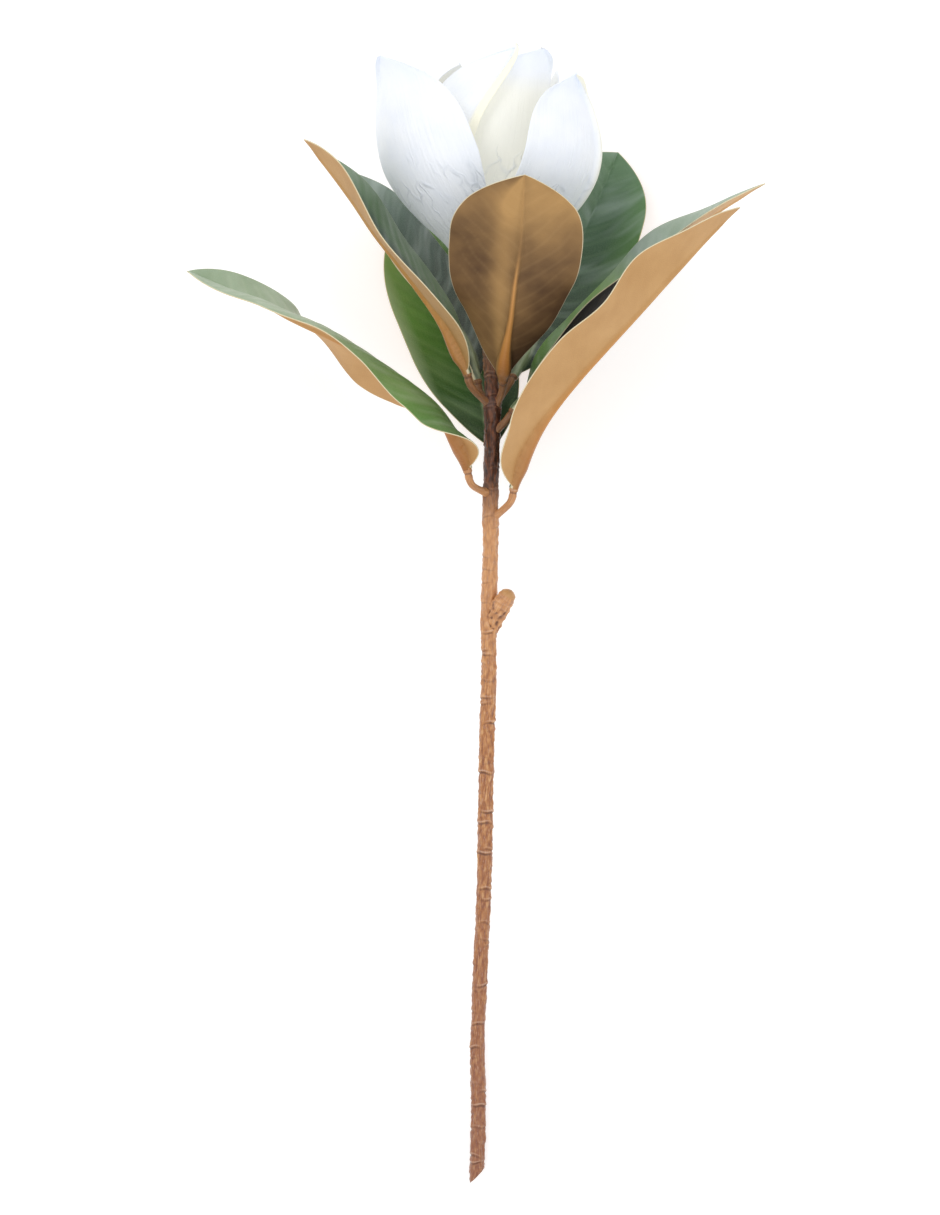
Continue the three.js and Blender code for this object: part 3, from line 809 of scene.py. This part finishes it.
def closed_sheet(rings, fields, rim):
    """Points, faces, material numbers and point fields of a sheet, with its rings closed at both ends.

    The upper side has material 0 and the lower side 1, and rim is the number for the edge.
    """
    rows, sides = rings.shape[:2]
    count = rows * sides
    points = np.vstack([rings.reshape(-1, 3), rings[0].mean(0), rings[-1].mean(0)])
    k = np.arange(sides)
    first = np.stack([(k + 1) % sides, k, 0 * k + count, 0 * k + count], -1)
    last = np.stack([k, (k + 1) % sides, 0 * k, 0 * k], -1) + (rows - 1) * sides
    last[:, 2:] = count + 1
    faces = np.vstack([ring_faces(rows, sides), first, last])
    spans = sides // 2 - 2
    ring = np.array([0] * spans + [rim] * 2 + [1] * spans + [rim] * 2)
    kinds = np.concatenate([np.tile(ring, rows - 1), np.full(2 * sides, rim)])
    fields = {key: np.append(v.ravel(), [v[0, 0], v[-1, 0]]) for key, v in ring_fields(fields).items()}
    return points, faces, kinds, fields


def grid_normals(grid):
    """Unit normals of a grid of points, from its two ways."""
    du = np.gradient(grid, axis=0)
    dv = np.gradient(grid, axis=1)
    return unit(np.cross(dv, du))


LEAF_ROWS, LEAF_COLUMNS = 280, 26


def leaf_piece(node, leaf, seed):
    """A blade with its midrib; each half rises from the midrib by its own angles."""
    curve = Curve(leaf["spine"])
    turn = np.linspace(0, math.pi, LEAF_ROWS)
    t = 0.75 * (1 - np.cos(turn)) / 2 + 0.25 * turn / math.pi
    point, along = curve.at(t), curve.along(t)
    right = unit(np.cross(along, np.array(leaf["up"], float)))
    up = np.cross(right, along)
    share = outline_share(leaf["outline"], t)
    radius = blend(RIB_RADII, np.minimum(t / RIB_SHARE, 1)) * (1 - smoothstep(t, RIB_SHARE, 1))
    cells = np.append(0.986 * np.linspace(0, 1, LEAF_COLUMNS - 1) ** 1.2, [0.994, 1])
    centres = (cells[1:] + cells[:-1]) / 2
    halves, spans = [], []
    for side, key, half_share, curl in zip((-1, 1), ("left", "right"), leaf["shares"], leaf["curl"]):
        half = leaf["width"] / 2 * half_share * share
        width = np.maximum(half, np.maximum(radius, 0.25))
        ripple = leaf.get("ripple", RIPPLE) * waves(seed + side, t * 2.2, count=4)
        rise = blend(leaf[key], t)[:, None] + curl * centres + ripple[:, None] * centres**2
        rise = np.radians(rise)
        step = width[:, None] * np.diff(cells)
        moves = side * np.cos(rise)[..., None] * right[:, None] + np.sin(rise)[..., None] * up[:, None]
        halves.append(point[:, None] + np.cumsum(moves * step[..., None], axis=1))
        spans.append(width)
    middle = np.concatenate([halves[0][:, ::-1], point[:, None], halves[1]], axis=1)
    signed = np.concatenate([-cells[:0:-1], cells])
    width = np.where(signed < 0, spans[0][:, None], spans[1][:, None])
    across = signed * width
    distance = np.abs(across)
    flip = -1 if leaf.get("face_down") else 1
    normal = grid_normals(middle)
    normal = normal * np.sign((normal * up[:, None]).sum(-1, keepdims=True)) * flip
    outward = unit(middle[:, [0, -1]] - middle[:, [1, -2]])

    run = t[:, None] * curve.length
    bend = VEIN_SWEEP * distance + VEIN_BEND * distance**2
    drift = VEIN_WANDER * waves(seed + 5, run / 60, across / 60)
    phase = (run - bend) / VEIN_PITCH + np.where(signed < 0, 0.5, 0) + drift
    off = np.abs(phase - np.round(phase)) * VEIN_PITCH
    fade = smoothstep(1 - np.abs(signed), 0.02, 0.25) * smoothstep(share[:, None] + 0 * across, 0.1, 0.5)
    vein = ridge(off, VEIN_WIDTH) * fade
    pillow = np.cos(2 * math.pi * phase) * -0.5 * fade
    reach = np.maximum(radius, 0.7)[:, None]
    rib = ridge(distance, leaf.get("rib", RIB_MASK) * reach) * (1 - 0.9 * smoothstep(t, 0.5, 0.68))[:, None]
    margin = smoothstep(distance - width, -MARGIN_WIDTH, 0) + 0 * run

    tone = 0.5 + 0 * across
    if leaf.get("face_down"):
        # painted light and shade: the folded halves lighter and darker in a saddle as if lit from one side,
        # with a painted lit band towards the tip and a painted highlight along the left of the midrib
        turned = np.tanh(4.8 * signed * (t[:, None] - 0.5))
        tone = 0.2 + 0.25 * turned + 0.55 * ridge(t[:, None] - 0.88, 0.14) + 0.5 * ridge(signed * 33 + 7, 6)
    elif leaf.get("under") == "shaded":
        # painted shade: darkest towards the blade's base
        tone = 0.05 + 0.9 * smoothstep(t, 0.45, 0.75)[:, None] + 0 * across

    thickness = BLADE_THICKNESS * (1 - EDGE_THINNING * np.abs(signed) ** 3) / 2 + 0 * across
    sink = RIB_SINK * radius * smoothstep(t, 0, 0.064)
    round_rib = np.sqrt(np.maximum(radius[:, None] ** 2 - distance**2, 0))
    below = sink[:, None] * smoothstep(round_rib / np.maximum(radius, 0.1)[:, None], 0, 0.4)
    groove = MIDRIB_GROOVE * ridge(distance, 1.0) * smoothstep(t, 0.08, 0.25)[:, None]
    top = thickness + PILLOW_RISE * pillow - VEIN_GROOVE * vein
    top = soft_max(top, round_rib - sink[:, None], 0.35) - groove
    under = soft_max(thickness + VEIN_UNDER * vein + PILLOW_UNDER * pillow, round_rib + below, 0.3)
    top = np.maximum(top, LEAST_THICKNESS)

    rings = sheet_rings(middle, normal, outward, top, under)
    fields = {
        "across": across,
        "along": run + 0 * across,
        "share": t[:, None] + 0 * across,
        "vein": vein,
        "slant": phase * VEIN_PITCH,
        "rib": rib,
        "margin": margin,
        "tone": tone,
    }
    points, faces, kinds, fields = closed_sheet(rings, fields, 2)
    looks = [UPPER[leaf["look"]], LOWER[leaf.get("under", "tan")], RIM]
    return add_piece(f"{node}_blade", node, points, faces, looks, kinds, fields)


# ---------------------------------------------------------------- petals

PETAL_ROWS, PETAL_COLUMNS = 170, 30


def petal_piece(node, petal, seed):
    """A petal round the bloom's middle line, following its meridian of radius and height."""
    meridian = Curve(petal["meridian"])
    turn = np.linspace(0, math.pi / 2, PETAL_ROWS)
    t = 0.5 * np.sin(turn) + 0.5 * turn / (math.pi / 2)
    radius, height = meridian.at(t).T
    turned = petal["drift"] * t**PETAL_DRIFT_POWER + petal.get("hook", 0) * t**PETAL_HOOK_POWER
    middle_azimuth = np.radians(petal["azimuth"] + turned)
    share = outline_share(petal["outline"], t)
    full = petal["width"] / 2 * share
    opening = smoothstep(t, PETAL_FOOT_END, PETAL_FULL_START)
    spread = np.radians(PETAL_FOOT_SPREAD + (petal["spread"] - PETAL_FOOT_SPREAD) * opening)
    foot = np.where(t < PETAL_FOOT_END, PETAL_FOOT_HALF_WIDTH, 0)
    width = np.maximum(np.minimum(np.maximum(full, foot), radius * spread), 0.3)
    half = np.linspace(0, 1, PETAL_COLUMNS + 1)
    signed = np.concatenate([-half[:0:-1], half])
    azimuth = middle_azimuth[:, None] + signed * width[:, None] / radius[:, None]
    across = signed * width[:, None]
    run = t[:, None] * meridian.length
    middle = np.stack(
        [
            BLOOM_X + radius[:, None] * np.sin(azimuth),
            BLOOM_Y + height[:, None] + 0 * azimuth,
            radius[:, None] * np.cos(azimuth),
        ],
        -1,
    )
    normal = grid_normals(middle)
    centre = np.array([BLOOM_X, BLOOM_Y + 60, 0])
    normal = normal * np.sign((normal * (middle - centre)).sum(-1, keepdims=True))
    edge = smoothstep(np.abs(signed), 0.72, 1)
    wave = PETAL_EDGE_WAVE * waves(seed, t[:, None] * 1.6, signed * 0.5) * smoothstep(t, 0.25, 0.8)[:, None]
    roll = PETAL_EDGE_ROLL * edge * smoothstep(t, 0.35, 0.7)[:, None]
    middle = middle + normal * (wave * edge + roll)[..., None]
    normal_new = grid_normals(middle)
    normal = normal_new * np.sign((normal_new * normal).sum(-1, keepdims=True))
    outward = unit(middle[:, [0, -1]] - middle[:, [1, -2]])

    tint = 0 * across
    if "rolled" in petal:
        tint = smoothstep(signed, *petal["rolled"]) * smoothstep(t, 0.25, 0.45)[:, None]
        middle = middle + normal * (PETAL_ROLL_RISE * np.sin(math.pi * tint / 1.4))[..., None]
    # painted shade below the turned-out top, as a tint
    if "shade_below_top" in petal:
        tint = petal["shade_below_top"] * (1 - smoothstep(t, 0.8, 0.93))[:, None] + 0 * across

    thickness = PETAL_THICKNESS * (1 - PETAL_THINNING * np.abs(signed) ** 2) / 2 + 0 * across
    rings = sheet_rings(middle, normal, outward, thickness, thickness)
    fields = {"across": across, "along": run + 0 * across, "share": t[:, None] + 0 * across, "tint": tint}
    points, faces, kinds, fields = closed_sheet(rings, fields, 0)
    looks = [PETAL_OUTER, PETAL_INNER]
    return add_piece(f"{node}_sheet", node, points, faces, looks, kinds, fields)


# ---------------------------------------------------------------- stem


BARK_FIELDS = ("around", "along", "ring", "dent_shade", "groove", "red", "cut")
CAP_SHARES = (0.9, 0.72, 0.5, 0.28, 0.06)  # sizes of the discs that close a rod's end
PHASES = (0, 6.3)  # about one turn


def rod(path, t, radius, sides, extra, shift=None):
    """Rings round a curve and their angles; extra adds to the radius, shift moves points along."""
    centre, along = path.at(t), path.along(t)
    side = unit(np.cross(along, [0, 0, 1]))
    rise = np.cross(side, along)
    angle = 2 * math.pi * (np.arange(sides) + 0.5) / sides
    r = radius[:, None] + extra(angle)
    ring = centre[:, None] + r[..., None] * (
        np.cos(angle)[None, :, None] * side[:, None] + np.sin(angle)[None, :, None] * rise[:, None]
    )
    if shift is not None:
        ring = ring + shift(angle)[..., None] * along[:, None]
    return ring, angle


def grooves(angle, along):
    """Wandering grooves along the bark, about -1 to 1."""
    lines = [np.cos(k * angle + 2.6 * waves(k, along / 16)) for k in (4, 5, 7, 9)]
    return sum(lines) / 2.4


class BarkMesh:
    """The closed rods of the stem, with their fields."""

    def __init__(self):
        self.points, self.faces = [], []
        self.fields = {key: [] for key in BARK_FIELDS}

    def add(self, rings, values, dome=0.0):
        """Adds a rod with discs in its two ends; dome lifts the last end."""
        caps = []
        for end, lift in ((0, 0.0), (-1, dome)):
            rim = rings[end]
            middle = rim.mean(0)
            outward = unit((rings[1] - rings[0]).mean(0) if end == 0 else (rings[-1] - rings[-2]).mean(0))
            discs = [middle + (rim - middle) * s + outward * lift * (1 - s * s) for s in CAP_SHARES]
            caps.append(np.array(discs))
        whole = np.concatenate([caps[0][::-1], rings, caps[1]])
        rows, sides = whole.shape[:2]
        start = sum(len(part) for part in self.points)
        self.points.append(whole.reshape(-1, 3))
        self.faces.append(ring_faces(rows, sides, start))
        for end in (0, rows - 1):
            row = start + end * sides + np.arange(sides)
            half = range(sides // 2 - 1)
            strip = np.array([[row[k], row[k + 1], row[-2 - k], row[-1 - k]] for k in half])
            self.faces.append(strip[:, ::-1] if end == 0 else strip)
        pad = len(CAP_SHARES)
        for key, value in values.items():
            low, high = np.repeat(value[:1], pad, 0), np.repeat(value[-1:], pad, 0)
            if key == "cut":
                low, high = low * 0 + 1, high * 0 + 1
            self.fields[key].append(np.concatenate([low, value, high]).ravel())


def add_trunk(bark):
    """The stem, with rings at uneven distances, painted shadow in the dent below each ring, and a swelling
    under each stalk.
    """
    path = Curve(STEM_PATH)
    t = np.linspace(0, 1, STEM_ROWS)
    run = t * path.length
    radius = blend(STEM_RADII, t) * (1 - 0.14 * ridge(run, 2.2))
    places = np.arange(6, path.length - 4, RING_PITCH)
    places = places + rng.uniform(-1.9, 1.9, len(places))
    knots = [leaf["stalk"][1] for leaf in LEAVES.values()] + [STUB_KNOT]
    sides = STEM_SIDES
    ring_mask, dent_shade_mask = np.zeros((len(run), sides)), np.zeros((len(run), sides))

    def relief(angle):
        total = np.zeros((len(run), sides))
        for place in places:
            tilt = rng.uniform(-1.1, 1.1) * np.cos(angle + rng.uniform(*PHASES))
            wander = 0.35 * np.cos(3 * angle + rng.uniform(*PHASES))
            gap = run[:, None] - place - tilt - wander
            strength = rng.uniform(0.2, 1.0) * (0.5 + 0.5 * np.sin(angle + rng.uniform(*PHASES)))
            total += RING_RISE * strength * (ridge(gap, 0.8) - 0.8 * ridge(gap + 1.3, 0.7))
            ring_mask[:] += 0.8 * strength * ridge(gap, 0.5)
            # painted shadow in the dent just below each ring
            dent_shade_mask[:] += strength * ridge(gap + 1.3, 0.6)
        for knot in knots:
            total += KNOT_RISE * ridge(run - (knot - STEM_PATH[0][1]), 5)[:, None]
        lumps = waves(4, np.cos(angle) * 0.6, np.sin(angle) * 0.6, run[:, None] / 16, count=8)
        knobs = waves(6, np.cos(angle) * 1.1, np.sin(angle) * 1.1, run[:, None] / 6, count=10)
        return total + GROOVE_RISE * grooves(angle, run[:, None]) + LUMP_RISE * lumps + KNOB_RISE * knobs

    def slant(angle):
        fall = np.clip(1 - run / CUT_RUN, 0, 1)[:, None]
        return CUT_SLOPE * STEM_RADII[0] * (1 + np.cos(angle)) * fall

    rings, angle = rod(path, t, radius, sides, relief, slant)
    reddened = smoothstep(run, 355, 392) * (1 - 0.35 * smoothstep(run, 430, 470))
    red = reddened[:, None] * np.ones(sides)
    bark.add(rings, {
        "around": np.cos(angle) * 12 + 0 * run[:, None],
        "along": run[:, None] * np.ones(sides),
        "ring": np.clip(ring_mask, 0, 1),
        "dent_shade": np.clip(dent_shade_mask, 0, 1),
        "groove": grooves(angle, run[:, None]),
        "red": red,
        "cut": 0 * red,
    })


def add_stub(bark):
    """What is left of a side branch: folded bark below and bands below its cut end."""
    stub = Curve(STUB_PATH)
    t = np.linspace(0, 1, STUB_ROWS)
    run = (t * stub.length)[:, None]
    folded = (1 - smoothstep(t, 0.55, 0.8))[:, None]

    def bands(angle, width):
        return sum(ridge(run - place - 0.5 * np.cos(angle + place), width) for place in STUB_BANDS)

    def wrinkle(angle):
        return 0.5 * grooves(angle + 0.05 * run, run) * folded + 0.4 * bands(angle, 0.8)

    rings, angle = rod(stub, t, blend(STUB_RADII, t), STUB_SIDES, wrinkle)
    folds = grooves(angle + 0.05 * run, run)
    bark.add(rings, {
        "around": np.cos(angle) * 12 + 0 * t[:, None],
        "along": 300 + run + 0 * angle,
        "ring": 0.35 * bands(angle, 0.6),
        # painted shade in the hollows of the stub's folds
        "dent_shade": np.clip(-folds, 0, 1) * folded,
        "groove": folds,
        "red": 0 * t[:, None] * angle,
        "cut": smoothstep(t, 0.92, 0.98)[:, None] + 0 * angle,
    }, dome=2.2)


def add_stalk(bark, leaf, seed):
    """A leaf's stalk, from the stem to the base of the blade, with a low collar."""
    spine = Curve(leaf["spine"])
    base, along = spine.at([0])[0], spine.along([0])[0]
    stalk = Curve([leaf["stalk"], base - along * STALK_REACH, base + along * 0.8])
    t = np.linspace(0, 1, STALK_ROWS)
    run = t * stalk.length
    end = stalk.length - run
    flare = 1.1 * np.exp(-run / 3.2)
    collar = 0.3 * ridge(end - 1.7, 0.7) + 0.12 * ridge(end - 5.2, 0.7)
    radius = blend(STALK_RADII, t) + flare + collar - 0.2 * ridge(end - 3.2, 0.7)

    def relief(angle):
        return 0.1 * waves(seed + 40, np.cos(angle), np.sin(angle), run[:, None] / 14, count=8)

    rings, angle = rod(stalk, t, radius, STALK_SIDES, relief)
    flat = 0 * angle
    bark.add(rings, {
        "around": np.cos(angle) * 8 + 0 * t[:, None],
        "along": 400 + 30 * seed + run[:, None] + flat,
        "ring": 0.6 * ridge(end - 1.5, 0.5)[:, None] * (0.5 + 0.5 * np.cos(angle + seed)),
        # painted shade in the dent between the stalk's collar rings
        "dent_shade": 0.7 * ridge(end - 3.2, 0.6)[:, None] + flat,
        "groove": 0.4 * np.cos(5 * angle) + 0 * t[:, None],
        "red": (0.1 if leaf["stalk"][1] < RED_FROM else 0.55) + 0 * t[:, None] + flat,
        "cut": 0 * t[:, None] + flat,
    })


def stem_piece():
    """The stem with its stub and all the stalks, as one piece."""
    bark = BarkMesh()
    add_trunk(bark)
    add_stub(bark)
    for seed, leaf in enumerate(LEAVES.values()):
        add_stalk(bark, leaf, seed)
    fields = {key: np.concatenate(parts) for key, parts in bark.fields.items()}
    points, faces = np.vstack(bark.points), np.vstack(bark.faces)
    return add_piece("stem_bark", "stem", points, faces, [BARK], None, fields)


def base_piece():
    """The bloom's base and its small cone, turned from their outline with a light wobble."""
    outline = np.array(BASE_OUTLINE, float)
    steps = np.linspace(0, 1, BASE_FINE_ROWS)
    reached = np.concatenate([[0], np.cumsum(np.linalg.norm(np.diff(outline, axis=0), axis=1))])
    radius = np.interp(steps * reached[-1], reached, outline[:, 0])
    height = np.interp(steps * reached[-1], reached, outline[:, 1])
    angle = 2 * math.pi * np.arange(BASE_FINE_SIDES) / BASE_FINE_SIDES
    wobble = 1 + 0.04 * waves(21, np.cos(angle), np.sin(angle), height[:, None] / 9, count=8)
    r = np.maximum(radius[:, None], 0.02) * wobble
    along = BLOOM_Y + height[:, None] + 0 * angle
    rings = np.stack([BLOOM_X + r * np.sin(angle), along, r * np.cos(angle)], -1)
    faces = ring_faces(BASE_FINE_ROWS, BASE_FINE_SIDES)
    return add_piece("bloom_base_core", "bloom_base", rings.reshape(-1, 3), faces, [BASE])


stem_piece()
for seed, (node, leaf) in enumerate(LEAVES.items()):
    leaf_piece(node, leaf, 100 + 10 * seed)
base_piece()
for seed, (node, petal) in enumerate(PETALS.items()):
    petal_piece(node, petal, 300 + 10 * seed)

# ---------------------------------------------------------------- floor, light and camera


FLOOR_HALF = 6.0
FLOOR_DROP = 0.0002  # keeps the floor clear of what touches z = 0
AIM = (0, 0.1, 0)  # where the lamps point, near the lowest leaves


def floor():
    """A plain white floor with a little light of its own, so that it stays white."""
    look = Look("floor", Emission_Color=(1, 1, 1, 1), Emission_Strength=0.5)
    grain = look.noise(look.place(), 6, 2)
    material = look.paint(look.mix(grain, colour(0xCFCFCF), colour(0xD2D2D2)), 0.9)
    mesh = bpy.data.meshes.new("floor")
    signs = ((-1, -1), (1, -1), (1, 1), (-1, 1))
    corners = [(x * FLOOR_HALF, y * FLOOR_HALF, -FLOOR_DROP) for x, y in signs]
    mesh.from_pydata(corners, [], [(0, 1, 2, 3)])
    mesh.materials.append(material)
    sheet = bpy.data.objects.new("floor", mesh)
    bpy.context.scene.collection.objects.link(sheet)


def area_light(name, place, size, power, tint):
    """A round soft lamp that points at AIM."""
    data = bpy.data.lights.new(name, "AREA")
    data.shape = "DISK"
    data.size = size
    data.energy = power
    data.color = tint
    light = bpy.data.objects.new(name, data)
    light.location = place
    way = (np.array(place) - np.array(AIM)) / np.linalg.norm(np.array(place) - np.array(AIM))
    light.rotation_euler = Vector(way).to_track_quat("Z", "Y").to_euler()
    bpy.context.scene.collection.objects.link(light)


def studio():
    """A white surrounding light and three soft lamps."""
    world = bpy.data.worlds.new("studio")
    world.use_nodes = True
    background = world.node_tree.nodes["Background"]
    background.inputs["Color"].default_value = (1, 1, 1, 1)
    background.inputs["Strength"].default_value = 0.75
    bpy.context.scene.world = world
    area_light("key", (-0.9, 1.1, 1.9), 1.1, 12, (1, 0.99, 0.97))
    area_light("fill", (1.2, 0.2, 1.5), 1.2, 4, (0.97, 0.98, 1))
    area_light("front", (-0.1, -0.9, 1.9), 1.4, 8, (0.97, 0.98, 1))


def camera():
    """Looks straight at the branch's own plane, at the photo's scale."""
    data = bpy.data.cameras.new("view")
    data.sensor_fit = "VERTICAL"
    data.sensor_height = 24.0
    data.lens = data.sensor_height * CAMERA_AT[2] / (PHOTO[1] * PHOTO_SCALE)
    data.clip_start = 0.1
    data.clip_end = 50
    view = bpy.data.objects.new("view", data)
    place = (np.array(CAMERA_AT) @ LAY.T + TO_SHARED) * MM
    view.matrix_world = Matrix.Translation(place) @ lay.to_4x4()
    bpy.context.scene.collection.objects.link(view)
    bpy.context.scene.camera = view


floor()
studio()
camera()
bpy.context.scene.view_settings.view_transform = "Standard"
